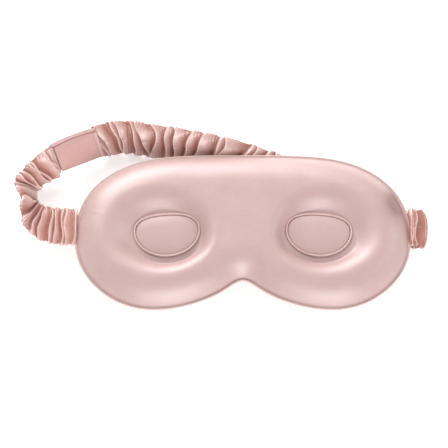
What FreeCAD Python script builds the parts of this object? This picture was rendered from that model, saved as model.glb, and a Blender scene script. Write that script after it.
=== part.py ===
import FreeCAD, Part
import math
import os

# Sleep eye mask with a gathered strap, lying face side up on its flattened outer side.
# Millimetres. X runs along the mask, +Y towards the forehead edge, +Z up, towards the face.
# The origin is the centre of the flat place that the outer cover rests on.

V = FreeCAD.Vector

# ---- mask body ----
SEAM_Z = 14.0            # height of the seam round the mask's edge
PAD_RISE = 12.5          # padding above the seam, on the face side
PAD_ROUND = 26.0         # how far in from the seam the padding reaches its full height
REST_X, REST_Y = 36.0, 21.0   # half axes of the flat resting ellipse
REST_MID_Y = 3.0
REST_DIP = 0.4           # depth that the flat place is trimmed by
FLOOR_Z = 18.5           # top of the cover on the floor of an eye bowl
BOWL = (56.5, -6.8, 36.5, 33.2)    # eye bowl's rim: centre x, y, half axes x, y
OVAL = (49.8, -2.7, 21.6, 15.2)    # flat oval at the bowl's floor: the same four
OVAL_TILT = math.radians(4.0)
FLOOR_MARGIN = 1.08      # the floor reaches this far past the oval, as a share of it
FACE_T = 0.8             # satin face cover with its thin backing
OUTER_T = 1.0            # satin outer cover
LINING_T = 0.5           # blackout lining
LAYER_GAP = 0.06
PIPING_R = 1.3           # edge piping
EYE_PIPING_R = 0.9
EYE_PIPING_RISE = 0.4    # its middle above the floor
GROOVE_GAP = 0.1         # between the eye piping and the cloth and foam round it
COVER_INSET = 1.5        # covers stop this far inside the seam line, behind the piping
FOAM_INSET = 3.2
GRID_STEP = 4.0
GRID_REACH = (116.0, 60.0)
HIGH = 60.0              # taller than the mask, for trimming solids

# Half of the seam outline, from the forehead's middle round to the nose notch.
HALF_OUTLINE = [
    (0.0, 52.5), (38.0, 52.0), (66.0, 48.5), (88.0, 39.0), (103.0, 24.0), (110.0, 2.0),
    (106.5, -22.5), (92.0, -41.0), (70.0, -51.5), (48.0, -52.0), (28.0, -47.0),
    (12.0, -39.0), (0.0, -33.0),
]

# ---- strap ----
BAND_W = 25.0            # gathered sleeve
BAND_T = 3.4
SLEEVE_WALL = 0.8
ELASTIC_W = 19.0
ELASTIC_T = 1.0
TABLE_GAP = 0.3          # the strap's lowest edge above the table
THREAD_W, THREAD_T = 0.7, 0.4
ROOT_MID_Y = 3.0         # middle of the strap where it leaves the seam
ROOT_X = 112.4           # where the strap's gathers begin, just outside the piping
TONGUE_L, TONGUE_W, TONGUE_T = 9.0, 19.0, 0.8
TONGUE_END_X = 105.0     # its outer end, behind the piping
TONGUE_RISE = 1.65       # its middle above the seam

# ---- hook and loop closure ----
PANEL_W = 19.5
LANDING_W, LANDING_SHIFT = 22.5, 1.2   # the landing shows above the tab's upper edge
PANEL_L = 33.0
PANEL_T = 1.0
TAPE_T = 0.8
TAPE_W = 15.5
TAPE_L = 25.0
STRIP_L, STRIP_T = 2.4, 0.5
MATE_GAP = 0.3           # between the hook tape and the loop tape
END_GAP = 0.2            # between the closure's pieces and the sleeves' ends
TAB_HINGE_AT = 2.7       # peel line, along the closure from its left end
HEM_R = 0.5              # rolled fold at the tab's peel line
CLOSURE_AT = (-124.3, 45.0)      # lower edge of the closure's left end, on the table
CLOSURE_HEADING = 22.5
CLOSURE_LEAN = 50.0

# Stations of each half: x and y of the band's lower edge, its height or None on the table,
# the plan direction that the band leans out to, and its lean above flat, in degrees.
LEFT_ROUTE = [
    (-ROOT_X, 15.5, SEAM_Z, -90.0, 0.0),
    (-120.0, 16.2, 13.2, -91.0, 1.0),
    (-128.0, 17.6, 11.0, -93.0, 6.0),
    (-134.0, 20.0, 8.0, -98.0, 14.0),
    (-137.8, 23.6, 4.4, -112.0, 34.0),
    (-139.3, 27.5, 1.6, -140.0, 66.0),
    (-139.3, 31.5, None, 175.0, 61.0),
    (-137.0, 35.0, None, 145.0, 65.0),
    (-133.0, 38.4, None, 127.0, 62.0),
]
RIGHT_ROUTE = [
    (-86.5, 59.6, None, 105.0, 50.0),
    (-77.0, 60.0, None, 92.0, 50.0),
    (-61.0, 57.4, None, 80.0, 50.0),
    (-45.0, 54.8, None, 75.0, 49.0),
    (-28.0, 50.6, None, 72.0, 45.0),
    (-11.0, 45.0, None, 69.0, 37.0),
    (5.0, 38.6, None, 67.0, 26.0),
    (22.0, 31.5, None, 66.0, 14.0),
    (42.0, 22.7, None, 65.0, 3.0),
    (69.0, 10.2, None, 65.0, 0.0),
    (96.0, -2.4, None, 65.0, 0.0),
]
LEFT_CUTS, RIGHT_CUTS = (2, 7), (2, 11)
STEPS = 3                # stations made between each two, for a smooth band

# The fold that turns the strap over at the right seam: middle of the band, plan direction
# of its width.
RIGHT_FOLD = [
    ((110.5, 4.8, 2.1), 73.0),
    ((116.6, 3.4, 4.0), 83.0),
    ((119.0, 3.0, 8.2), 88.0),
    ((117.0, 3.0, 12.3), 90.0),
    ((ROOT_X + 0.2, 3.0, SEAM_Z), 90.0),
]


def unit(v):
    return v * (1.0 / v.Length)


def periodic(points):
    curve = Part.BSplineCurve()
    curve.interpolate(Points=points, PeriodicFlag=True)
    return curve


def full_outline():
    right = [V(x, y, 0) for x, y in HALF_OUTLINE]
    left = [V(-x, y, 0) for x, y in HALF_OUTLINE[-2:0:-1]]
    return periodic(right + left)


OUTLINE = full_outline()
FIRST, LAST = OUTLINE.FirstParameter, OUTLINE.LastParameter


def inset(distance, count=96):
    """The outline moved inwards by a distance, at height 0."""
    points = []
    for i in range(count):
        u = FIRST + (LAST - FIRST) * i / count
        along = OUTLINE.tangent(u)[0]
        inward = V(along.y, -along.x, 0)
        points.append(OUTLINE.value(u) + inward * distance)
    return periodic(points)


def depth_inside(x, y):
    """Distance in from the seam outline, negative outside it."""
    here = V(x, y, 0)
    u = OUTLINE.parameter(here)
    nearest = OUTLINE.value(u)
    along = OUTLINE.tangent(u)[0]
    side = along.x * (y - nearest.y) - along.y * (x - nearest.x)
    distance = here.distanceToPoint(nearest)
    return -distance if side > 0 else distance


def beyond_rest(x, y):
    """Distance outside the resting ellipse, along the line from its centre."""
    q = math.hypot(x / REST_X, (y - REST_MID_Y) / REST_Y)
    if q <= 1.0:
        return 0.0
    return math.hypot(x, y - REST_MID_Y) * (1.0 - 1.0 / q)


def oval_ratio(x, y):
    """1 on the flat oval's edge, for the eye on the +X side."""
    cx, cy, a, b = OVAL
    dx, dy = x - cx, y - cy
    along = dx * math.cos(OVAL_TILT) - dy * math.sin(OVAL_TILT)
    across = dx * math.sin(OVAL_TILT) + dy * math.cos(OVAL_TILT)
    return math.hypot(along / a, across / b)


def cavity(x, y):
    """1 on the floor of an eye bowl, 0 outside its rim, smooth between."""
    cx, cy, a, b = BOWL
    x = abs(x)
    rim = math.hypot((x - cx) / a, (y - cy) / b)
    floor = oval_ratio(x, y)
    if rim >= 1.0:
        return 0.0
    if floor <= FLOOR_MARGIN:
        return 1.0
    share = (floor - FLOOR_MARGIN) / ((floor - FLOOR_MARGIN) + (1.0 - rim))
    return 0.5 + 0.5 * math.cos(math.pi * share)


def face_height(x, y):
    d = min(depth_inside(x, y), PAD_ROUND)
    rise = 1.0 - (1.0 - d / PAD_ROUND) ** 3
    sunk = cavity(x, y)
    return (SEAM_Z + PAD_RISE * rise) * (1.0 - sunk) + FLOOR_Z * sunk


def outer_height(x, y):
    d = depth_inside(x, y)
    out = beyond_rest(x, y)
    share = d / (abs(d) + out + 1e-9)
    return (SEAM_Z + REST_DIP) * (1.0 - max(share, -0.2)) - REST_DIP


def height_surface(height):
    """A smooth surface through heights on a square grid that is wider than the mask."""
    across, up = int(GRID_REACH[0] / GRID_STEP), int(GRID_REACH[1] / GRID_STEP)
    grid = []
    for i in range(-across, across + 1):
        x = GRID_STEP * i
        grid.append([V(x, GRID_STEP * j, height(x, GRID_STEP * j)) for j in range(-up, up + 1)])
    surface = Part.BSplineSurface()
    surface.interpolate(grid)
    return surface.toShape()


def prism(curve):
    """A tall solid inside a closed curve."""
    return Part.Face(Part.Wire([curve.toShape()])).extrude(V(0, 0, HIGH)).translated(V(0, 0, -10))


def layer(surface, offset, thickness, region):
    """A sheet that follows a height surface, trimmed to a region."""
    return surface.translated(V(0, 0, offset)).extrude(V(0, 0, thickness)).common(region)


def oval_curve(side, grow=0.0, height=None):
    cx, cy, a, b = OVAL
    points = []
    for i in range(24):
        angle = 2 * math.pi * i / 24
        along, across = (a + grow) * math.cos(angle), (b + grow) * math.sin(angle)
        x = cx + along * math.cos(OVAL_TILT) + across * math.sin(OVAL_TILT)
        y = cy - along * math.sin(OVAL_TILT) + across * math.cos(OVAL_TILT)
        z = height(x, y) if height else 0.0
        points.append(V(side * x, y, z))
    return periodic(points)


def tube_round(curve, radius):
    """A round cord along a closed curve that lies nearly flat."""
    start = curve.value(curve.FirstParameter)
    along = curve.tangent(curve.FirstParameter)[0]
    ring = Part.Wire([Part.makeCircle(radius, start, along)])
    pipe = Part.BRepOffsetAPI.MakePipeShell(Part.Wire([curve.toShape()]))
    pipe.setBiNormalMode(V(0, 0, 1))
    pipe.add(ring)
    pipe.build()
    pipe.makeSolid()
    return pipe.shape()


def tongue(side, grow=0.0):
    """The strap's flat end, sewn in between the covers."""
    length, width, thick = TONGUE_L + 2 * grow, TONGUE_W + 2 * grow, TONGUE_T + 2 * grow
    box = Part.makeBox(length, width, thick)
    middle_x = side * (TONGUE_END_X - TONGUE_L / 2)
    low_z = SEAM_Z + TONGUE_RISE - thick / 2
    return box.translated(V(middle_x - length / 2, ROOT_MID_Y - width / 2, low_z))


def make_mask():
    face = height_surface(face_height)
    outer = height_surface(outer_height)
    cover_region = prism(inset(COVER_INSET))
    foam_region = prism(inset(FOAM_INSET))
    parts = {}
    skin = layer(face, -FACE_T, FACE_T, cover_region)
    grooves = []
    for side, name in ((-1, "left"), (1, "right")):
        reach = EYE_PIPING_R + GROOVE_GAP
        parts[name + "_eye_panel"] = skin.common(prism(oval_curve(side, -reach)))
        skin = skin.cut(prism(oval_curve(side, reach)))
        ring = oval_curve(side, 0.0, lambda x, y: face_height(x, y) + EYE_PIPING_RISE)
        parts[name + "_eye_piping"] = tube_round(ring, EYE_PIPING_R)
        parts[name + "_strap_tongue"] = tongue(side)
        grooves.append(tube_round(ring, reach))
        grooves.append(tongue(side, GROOVE_GAP))
    parts["face_cover"] = skin
    above_table = Part.makeBox(260, 140, HIGH, V(-130, -70, 0))
    parts["outer_cover"] = layer(outer, 0, OUTER_T, cover_region).common(above_table)
    lining_z = OUTER_T + LAYER_GAP
    parts["blackout_lining"] = layer(outer, lining_z, LINING_T, prism(inset(COVER_INSET + 0.6)))
    foam_low = lining_z + LINING_T + LAYER_GAP
    above = outer.translated(V(0, 0, foam_low)).extrude(V(0, 0, HIGH))
    below = face.translated(V(0, 0, -FACE_T - LAYER_GAP)).extrude(V(0, 0, -HIGH))
    foam = foam_region.common(above).common(below)
    for groove in grooves:
        foam = foam.cut(groove)
    parts["foam_core"] = foam
    seam = OUTLINE.copy()
    seam.translate(V(0, 0, SEAM_Z))
    parts["edge_piping"] = tube_round(seam, PIPING_R)
    return parts


def heading_vector(degrees, lean=0.0):
    a, b = math.radians(degrees), math.radians(lean)
    return V(math.cos(a) * math.cos(b), math.sin(a) * math.cos(b), math.sin(b))


def station(x, y, z, out, lean):
    """The band's middle and the direction across it."""
    across = heading_vector(out, lean)
    if z is None:
        z = TABLE_GAP + BAND_T / 2 * math.cos(math.radians(lean))
    return V(x, y, z) + across * (BAND_W / 2), across


def smooth(values, i, share):
    """A point between values i and i + 1 on a smooth line through them all."""
    a, b = values[i], values[i + 1]
    before = values[i - 1] if i > 0 else a * 2 - b
    after = values[i + 2] if i + 2 < len(values) else b * 2 - a
    s, s2, s3 = share, share ** 2, share ** 3
    return (a * 2 + (b - before) * s + (before * 2 - a * 5 + b * 4 - after) * s2
            + (a * 3 - before - b * 3 + after) * s3) * 0.5


def refine(stations):
    """More stations between those given, each as middle, across and facing."""
    middles = [middle for middle, across in stations]
    acrosses = [across for middle, across in stations]
    fine = []
    for i in range(len(stations) - 1):
        for k in range(STEPS):
            fine.append((smooth(middles, i, k / STEPS), unit(smooth(acrosses, i, k / STEPS))))
    fine.append(stations[-1])
    framed = []
    for i, (middle, across) in enumerate(fine):
        ahead = fine[min(i + 1, len(fine) - 1)][0] - fine[max(i - 1, 0)][0]
        facing = unit(ahead.cross(across))
        framed.append((middle, across, facing))
    return framed


def band(framed, width, thick, lift=0.0):
    """A flat band through framed stations, its middle lifted towards the face side."""
    sections = []
    for middle, across, facing in framed:
        centre = middle + facing * lift
        corners = []
        for u, v in ((-1, -1), (1, -1), (1, 1), (-1, 1)):
            corners.append(centre + across * (u * width / 2) + facing * (v * thick / 2))
        sections.append(Part.makePolygon(corners + corners[:1]))
    return Part.makeLoft(sections, True, True)


def sleeve(framed):
    outside = band(framed, BAND_W, BAND_T)
    inside = band(framed, BAND_W - 2 * SLEEVE_WALL, BAND_T - 2 * SLEEVE_WALL)
    return outside.cut(inside)


def make_strap():
    parts = {}
    along = heading_vector(CLOSURE_HEADING)
    across = heading_vector(CLOSURE_HEADING + 90.0, CLOSURE_LEAN)
    facing = along.cross(across)
    half_step = (BAND_T + MATE_GAP) / 2
    right_start = station(*CLOSURE_AT, None, CLOSURE_HEADING + 90.0, CLOSURE_LEAN)[0]
    mate = right_start + facing * half_step      # on the plane where the tapes meet

    left = [station(*row) for row in LEFT_ROUTE]
    left.append((mate + facing * half_step, across))
    right = [(mate + along * PANEL_L - facing * half_step, across)]
    right += [station(*row) for row in RIGHT_ROUTE]
    right += [(V(*middle), heading_vector(out)) for middle, out in RIGHT_FOLD]
    thread_lift = (BAND_T + THREAD_T) / 2 + LAYER_GAP

    # Each half's gathers, by station: the root that flexes, the sleeve, the end that stretches.
    for name, stations, cuts in (
        ("left", left, LEFT_CUTS),
        ("right", right, RIGHT_CUTS),
    ):
        framed = refine(stations)
        first, second = cuts[0] * STEPS, cuts[1] * STEPS
        pieces = [framed[:first + 1], framed[first:second + 1], framed[second:]]
        if name == "right":
            pieces.reverse()
        parts[name + "_root_gather"] = sleeve(pieces[0])
        parts[name + "_sleeve"] = sleeve(pieces[1])
        parts[name + "_end_sleeve"] = sleeve(pieces[2])
        parts[name + "_elastic"] = band(framed, ELASTIC_W, ELASTIC_T)
        parts[name + "_centre_thread"] = band(pieces[1], THREAD_W, THREAD_T, thread_lift)

    def slab(start, end, low, high, width, shift=0.0):
        """A flat piece on the closure: its reach along it and its heights off the mating plane."""
        box = Part.makeBox(end - start, width, high - low, V(start, shift - width / 2, low))
        turn = FreeCAD.Matrix(along.x, across.x, facing.x, mate.x,
                              along.y, across.y, facing.y, mate.y,
                              along.z, across.z, facing.z, mate.z)
        box.transformShape(turn)
        return box

    tape_low, tape_high = MATE_GAP / 2, MATE_GAP / 2 + TAPE_T
    cloth_low = tape_high + LAYER_GAP
    cloth_high = cloth_low + PANEL_T
    strip_low, strip_high = cloth_high + LAYER_GAP, cloth_high + LAYER_GAP + STRIP_T
    panel_start, panel_end = END_GAP, PANEL_L - END_GAP
    tape_end = panel_end - STRIP_L - LAYER_GAP
    tape_start = tape_end - TAPE_L

    # The tab, on the face side, hinges on the round fold at its peel line.
    hinge_point = mate + along * TAB_HINGE_AT + facing * (cloth_low + PANEL_T / 2)
    fold = Part.makeCylinder(HEM_R, PANEL_W, hinge_point - across * (PANEL_W / 2), across)
    tab = slab(TAB_HINGE_AT, panel_end, cloth_low, cloth_high, PANEL_W)
    parts["closure_tab"] = tab.fuse(fold).removeSplitter()
    parts["tab_hook_tape"] = slab(tape_start, tape_end, tape_low, tape_high, TAPE_W)
    parts["tab_end_hem"] = slab(panel_end - STRIP_L, panel_end, strip_low, strip_high, PANEL_W)
    join_end = TAB_HINGE_AT - HEM_R - MATE_GAP
    parts["tab_sewn_strip"] = slab(panel_start, join_end, tape_low, strip_high, PANEL_W)

    # The landing, behind the tab, is wider and shows above its upper edge.
    parts["landing_panel"] = slab(
        panel_start, panel_end, -cloth_high, -cloth_low, LANDING_W, LANDING_SHIFT)
    parts["landing_loop_tape"] = slab(tape_start, tape_end, -tape_high, -tape_low, TAPE_W)
    parts["landing_sewn_strip"] = slab(
        panel_end - STRIP_L, panel_end, -strip_high, -strip_low, LANDING_W, LANDING_SHIFT)
    return parts


parts = make_mask()
parts.update(make_strap())
os.makedirs("parts", exist_ok=True)
for name, shape in parts.items():
    shape.Solids[0].exportStep("parts/" + name + ".step")
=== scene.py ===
import math

import bpy
import numpy as np
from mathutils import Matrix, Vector, noise


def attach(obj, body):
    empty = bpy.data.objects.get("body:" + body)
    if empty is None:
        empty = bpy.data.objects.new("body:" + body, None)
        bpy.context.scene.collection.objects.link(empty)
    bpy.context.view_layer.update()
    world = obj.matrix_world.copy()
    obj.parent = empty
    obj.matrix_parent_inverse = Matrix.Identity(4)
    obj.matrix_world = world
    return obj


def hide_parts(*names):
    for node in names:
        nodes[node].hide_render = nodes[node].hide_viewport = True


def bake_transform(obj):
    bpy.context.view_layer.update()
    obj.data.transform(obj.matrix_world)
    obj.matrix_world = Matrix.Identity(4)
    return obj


# A padded satin sleep mask lying face side up, with its gathered strap behind it.
# Metres. X runs along the mask, +Y towards the forehead edge, +Z up, towards the face.

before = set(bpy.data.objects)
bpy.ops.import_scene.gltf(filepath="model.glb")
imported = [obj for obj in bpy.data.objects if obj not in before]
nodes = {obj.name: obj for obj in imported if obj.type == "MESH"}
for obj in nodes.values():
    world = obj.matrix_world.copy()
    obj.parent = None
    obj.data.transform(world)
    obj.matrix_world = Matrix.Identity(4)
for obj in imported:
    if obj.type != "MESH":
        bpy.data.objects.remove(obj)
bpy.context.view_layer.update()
MM = 0.001

# ---- mask shape, in millimetres ----
SEAM_Z = 14.0            # height of the seam round the edge
PAD_RISE, PAD_ROUND = 12.5, 26.0     # the face's rise from the seam, and how far in it levels off
REST_X, REST_Y, REST_MID_Y, REST_DIP = 36.0, 21.0, 3.0, 0.4     # flat place on the outer side
FLOOR_Z = 18.5           # height of an eye bowl's floor
BOWL = (55.5, -3.4, 38.5, 33.4)      # crest round an eye bowl: centre x, y, half axes
FLOOR = (51.0, -5.5, 23.5, 18.0)     # where a bowl's wall meets its floor
OVAL = (50.3, -1.1, 21.4, 11.6, 17.3)    # eye panel: centre x, y, half width, reach up, reach down
UPPER_SQUARE = 2.5       # its upper half is squarer than an ellipse
OVAL_TILT = math.radians(4.0)
PANEL_DOME, PANEL_SHARE = 1.7, 0.965     # its rise, and its size as a share of the oval
FACE_T, OUTER_T, LINING_T = 0.8, 1.0, 0.5
LAYER_GAP = 0.06         # between layers of the closure
COVER_INSET, FOAM_INSET = 0.1, 3.2   # how far inside the seam line they end
PIPING_R, PIPING_OUT = 0.8, 0.5      # a fine cord, and how far outside the seam line it sits
EYE_PIPING_R, EYE_PIPING_RISE = 0.72, 0.5    # and how far above the floor its middle is
OPENING_REACH = 0.75     # cover points this near an eye opening lie on its edge
FOAM_GAP = 0.3           # between the foam and the cloth over it
TRENCH = 0.25            # depth of the crease below the eye panel
DENT, DENT_ALONG = (103.0, 18.3), (-0.56, 0.83)  # beside the right strap root, along the edge
DENT_LONG, DENT_WIDE, DENT_DEEP = 9.0, 3.4, 1.1
MASK_MIDDLE, SPOKES, RINGS = (0.0, 4.0), 720, 104    # the covers' mesh
EYE_STEPS, PANEL_RINGS = 260, 33     # the eye panel's mesh
HALF_OUTLINE = [
    (0.0, 52.5), (38.0, 52.0), (66.0, 48.5), (88.0, 39.0), (103.0, 24.0), (110.0, 2.0),
    (106.5, -22.5), (92.0, -41.0), (70.0, -51.5), (48.0, -52.0), (28.0, -47.0),
    (12.0, -39.0), (0.0, -33.0),
]

# ---- strap and closure, in millimetres ----
BAND_W, BAND_T = 25.0, 3.4       # the band that the gathers swell from
TABLE_GAP = 0.3          # under the band's lower edge
MATE_GAP = 0.3           # between the hook tape and the loop tape
CLOSURE_AT, CLOSURE_HEADING, CLOSURE_LEAN = (-124.3, 45.0), 22.5, 50.0
PANEL_L, PANEL_W, PANEL_T = 33.0, 19.5, 1.0      # the overlap's length; the tab's width and cloth
LANDING_W, LANDING_SHIFT = 22.5, 1.2             # the layer behind the tab stands above it
TAPE_W, TAPE_T = 15.5, 0.8
STRIP_L, STRIP_T = 2.4, 0.5      # the sewn strip at each end
TAB_HINGE_AT, HEM_R, END_GAP = 2.7, 0.5, 0.2
FOLD_R, CLOTH_STEP = 0.4, 0.4    # rounding of the closure's folded edges, and its mesh's step

# The left half from its seam to the closure, and the right half from the closure to its seam:
# the band's lower edge x, y, z, the plan direction across it, and its lean above flat.
LEFT_ROUTE = [
    (-112.4, 15.5, SEAM_Z, -90.0, 0.0),
    (-120.0, 16.2, 13.2, -91.0, 1.0),
    (-128.0, 17.6, 11.0, -93.0, 6.0),
    (-134.0, 20.0, 8.0, -98.0, 14.0),
    (-137.8, 23.6, 4.4, -112.0, 34.0),
    (-139.3, 27.5, 1.6, -140.0, 66.0),
    (-139.3, 31.5, None, 175.0, 61.0),
    (-137.0, 35.0, None, 145.0, 65.0),
    (-133.0, 38.4, None, 127.0, 62.0),
]
RIGHT_ROUTE = [
    (-86.5, 59.6, None, 105.0, 50.0),
    (-77.0, 60.0, None, 92.0, 50.0),
    (-61.0, 57.4, None, 80.0, 50.0),
    (-45.0, 54.8, None, 75.0, 49.0),
    (-28.0, 50.6, None, 72.0, 45.0),
    (-11.0, 45.0, None, 69.0, 37.0),
    (5.0, 38.6, None, 67.0, 26.0),
    (22.0, 31.5, None, 66.0, 14.0),
    (42.0, 22.7, None, 65.0, 3.0),
    (69.0, 10.2, None, 65.0, 0.0),
    (96.0, -2.4, None, 65.0, 0.0),
]
# The last stations, where the band folds round to its seam: its middle and direction across.
RIGHT_FOLD = [
    ((110.5, 4.8, 2.1), 73.0),
    ((117.0, 3.4, 4.0), 83.0),
    ((119.8, 3.0, 8.4), 88.0),
    ((117.4, 3.0, 12.9), 90.0),
    ((112.6, 3.0, 14.0), 90.0),
]
ROOT_TUCK = 2.4          # how far the strap's ends reach in behind the edge piping
STRAP_STEP = 0.33        # between rings of a sleeve's mesh
AROUND = 96              # points round a sleeve
SWELL = 2.0              # how far the cloth stands off the band at its crests
CREST_W, CREST_RISE = 0.6, 0.35  # a crest's thin line
FOLD_DEEP = 2.9          # at most
SCATTER, WANDER = 1.5, 0.95      # of the crests, in folds
RIPPLE_PITCH = 2.1       # of the fine ripples on a sleeve's edges
LEAST_HALF_T = 0.72      # of a sleeve, so that its cloth clears the elastic
MIDDLE_AT = 0.16         # the painted highlight on a fold's crest fades out by this painted light value

# The gathers of each half. A list gives values at stations along the half's route: spacing of the
# folds in millimetres, how full the sleeve is, how far its folds lean, and painted shade added.
# The valley between two crests lies at valley_at of the way.
LEFT_GATHERS = {
    "seed": 2.0, "valley_at": 0.15,
    "spacing": [(0, 4.4), (9, 5.0)],
    "fullness": [(0, 0.7), (1, 1.0), (8.5, 1.0), (9, 0.6)],
    "lean": [(0, 0.0), (3, 0.15), (6, 0.0), (9, -0.35)],
    "shade": [(0, 0.24), (3, 0.20), (5, 0.0), (7, 0.06), (9, 0.06)],
}
RIGHT_GATHERS = {
    "seed": 23.0, "valley_at": 0.85,
    "spacing": [(0, 6.2), (2, 7.0), (8, 9.0), (11, 6.0), (12, 3.6), (16, 3.1)],
    "fullness": [(0, 0.5), (0.6, 1.0), (7.4, 1.0), (8.6, 0.2), (11, 0.2), (12, 0.6), (14, 1.25), (16, 0.95)],
    "lean": [(0, -0.45), (2, -0.3), (4, 0.1), (6, 0.35), (9, 0.45), (12, 0.0), (16, 0.0)],
    "shade": [(0, 0.22), (2, 0.14), (4, 0.0), (11.5, 0.0), (13, 0.55), (16, 0.8)],
}

# Where each strap bends at its seam, in metres: from all mask to all strap. The lines lean so
# that the strap's far end lies past them.
LEFT_BEND = {"start": (-0.112, -0.001, 0.012), "end": (-0.126, 0.0035, 0.012)}
RIGHT_BEND = {"start": (0.115, 0.003, 0.0145), "end": (0.111, 0.003, 0.0035)}

# Stitches: their length, the gap between them and their width.
SLEEVE_STITCH, CLOSURE_STITCH = (2.3, 1.0, 0.42), (1.5, 0.8, 0.3)
STITCH_RINGS, STITCH_SIDES = 7, 6


# ---------------------------------------- materials

def new_material(name):
    material = bpy.data.materials.new(name)
    material.use_nodes = True
    tree = material.node_tree
    return material, tree, tree.nodes["Principled BSDF"]


def scaled_position(tree, scale):
    """Object coordinates, in metres, stretched along each axis."""
    place = tree.nodes.new("ShaderNodeTexCoord")
    mapping = tree.nodes.new("ShaderNodeMapping")
    mapping.inputs["Scale"].default_value = scale
    tree.links.new(place.outputs["Object"], mapping.inputs["Vector"])
    return mapping.outputs["Vector"]


def noise_texture(tree, scale, detail=2.0, rough=0.5):
    texture = tree.nodes.new("ShaderNodeTexNoise")
    texture.inputs["Scale"].default_value = 1.0
    texture.inputs["Detail"].default_value = detail
    texture.inputs["Roughness"].default_value = rough
    tree.links.new(scaled_position(tree, scale), texture.inputs["Vector"])
    return texture.outputs["Fac"]


def weave_texture(tree, pitch):
    """Fine diagonal floats of a satin weave, crossed by the threads that tie them."""
    outs = []
    for scale in ((1 / pitch, 0.35 / pitch, 0.6 / pitch), (-0.35 / pitch, 1 / pitch, 0.6 / pitch)):
        wave = tree.nodes.new("ShaderNodeTexWave")
        wave.inputs["Scale"].default_value = 1.0
        wave.inputs["Distortion"].default_value = 1.2
        wave.inputs["Detail"].default_value = 1.0
        tree.links.new(scaled_position(tree, scale), wave.inputs["Vector"])
        outs.append(wave.outputs["Fac"])
    both = tree.nodes.new("ShaderNodeMath")
    both.operation = "MULTIPLY"
    tree.links.new(outs[0], both.inputs[0])
    tree.links.new(outs[1], both.inputs[1])
    return both.outputs["Value"]


def colour_between(tree, factor, low, high, start=0.3, end=0.7, middle=None):
    """Low to high as factor goes from start to end, by way of middle soon after the start."""
    ramp = tree.nodes.new("ShaderNodeValToRGB")
    if middle:
        ramp.color_ramp.elements.new(start + MIDDLE_AT * (end - start)).color = (*middle, 1)
    ramp.color_ramp.elements[0].position = start
    ramp.color_ramp.elements[0].color = (*low, 1)
    ramp.color_ramp.elements[-1].position = end
    ramp.color_ramp.elements[-1].color = (*high, 1)
    tree.links.new(factor, ramp.inputs["Fac"])
    return ramp.outputs["Color"]


def value_between(tree, factor, low, high):
    ramp = tree.nodes.new("ShaderNodeMapRange")
    ramp.inputs["To Min"].default_value = low
    ramp.inputs["To Max"].default_value = high
    tree.links.new(factor, ramp.inputs["Value"])
    return ramp.outputs["Result"]


def add_bump(tree, shader, height, strength, distance, before=None):
    bump = tree.nodes.new("ShaderNodeBump")
    bump.inputs["Strength"].default_value = strength
    bump.inputs["Distance"].default_value = distance
    tree.links.new(height, bump.inputs["Height"])
    if before:
        tree.links.new(before, bump.inputs["Normal"])
    tree.links.new(bump.outputs["Normal"], shader.inputs["Normal"])
    return bump.outputs["Normal"]


def cloth_material(name, low, high, rough, sheen, weave_mm, cloud_mm, slub_mm=(2.6, 0.9, 2.0),
                   weave_depth=0.00002, specular=0.6, painted_light_ramp=None):
    """Woven cloth: clouded colour, slubs along the thread, fine weave relief, soft sheen.
    Where the mesh carries a valley value, a ramp over it paints light and shade into the colour."""
    material, tree, shader = new_material(name)
    clouds = noise_texture(tree, tuple([1 / (cloud_mm * MM)] * 3), 3.0)
    slubs = noise_texture(tree, tuple(1 / (size * MM) for size in slub_mm), 3.0, 0.6)
    base = colour_between(tree, clouds, low, high)
    slub_colour = tree.nodes.new("ShaderNodeMix")
    slub_colour.data_type = "RGBA"
    slub_colour.blend_type = "MULTIPLY"
    slub_colour.inputs["Factor"].default_value = 0.5
    tint = colour_between(tree, slubs, (0.88, 0.87, 0.87), (1.0, 1.0, 1.0))
    tree.links.new(base, slub_colour.inputs["A"])
    tree.links.new(tint, slub_colour.inputs["B"])
    colour = slub_colour.outputs["Result"]
    # Painted light and shade: the colour is multiplied by a ramp over the mesh's valley value, darker in
    # grooves and folds and, for the strap, lighter on crests.
    if painted_light_ramp:
        depth = tree.nodes.new("ShaderNodeAttribute")
        depth.attribute_name = "valley"
        shade = tree.nodes.new("ShaderNodeMix")
        shade.data_type = "RGBA"
        shade.blend_type = "MULTIPLY"
        shade.inputs["Factor"].default_value = 1.0
        tree.links.new(colour, shade.inputs["A"])
        tint = colour_between(tree, depth.outputs["Fac"], painted_light_ramp[0], painted_light_ramp[-1], 0.0, 1.0,
                              painted_light_ramp[1] if len(painted_light_ramp) > 2 else None)
        tree.links.new(tint, shade.inputs["B"])
        colour = shade.outputs["Result"]
    tree.links.new(colour, shader.inputs["Base Color"])
    tree.links.new(value_between(tree, slubs, rough - 0.05, rough + 0.06), shader.inputs["Roughness"])
    shader.inputs["Specular IOR Level"].default_value = specular
    shader.inputs["Sheen Weight"].default_value = sheen
    shader.inputs["Sheen Roughness"].default_value = 0.35
    soft = add_bump(tree, shader, slubs, 0.25, 0.00006)
    add_bump(tree, shader, weave_texture(tree, weave_mm * MM), 0.35, weave_depth, soft)
    return material


def cell_material(name, colour, darker, pitch_mm, scatter, rough, relief, height_mm):
    """Raised cells: the pores of foam, or the tiny dots or loops of a tape."""
    material, tree, shader = new_material(name)
    cells = tree.nodes.new("ShaderNodeTexVoronoi")
    cells.inputs["Scale"].default_value = 1.0
    cells.inputs["Randomness"].default_value = scatter
    tree.links.new(scaled_position(tree, tuple([1 / (pitch_mm * MM)] * 3)), cells.inputs["Vector"])
    dark = tuple(darker * c for c in colour)
    tree.links.new(colour_between(tree, cells.outputs["Distance"], colour, dark), shader.inputs["Base Color"])
    shader.inputs["Roughness"].default_value = rough
    add_bump(tree, shader, cells.outputs["Distance"], relief, height_mm * MM)
    return material


# The mask's satin; its ramp paints shade into the grooves beside the piping and the seam, the crease below
# each eye and the dent.
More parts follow.
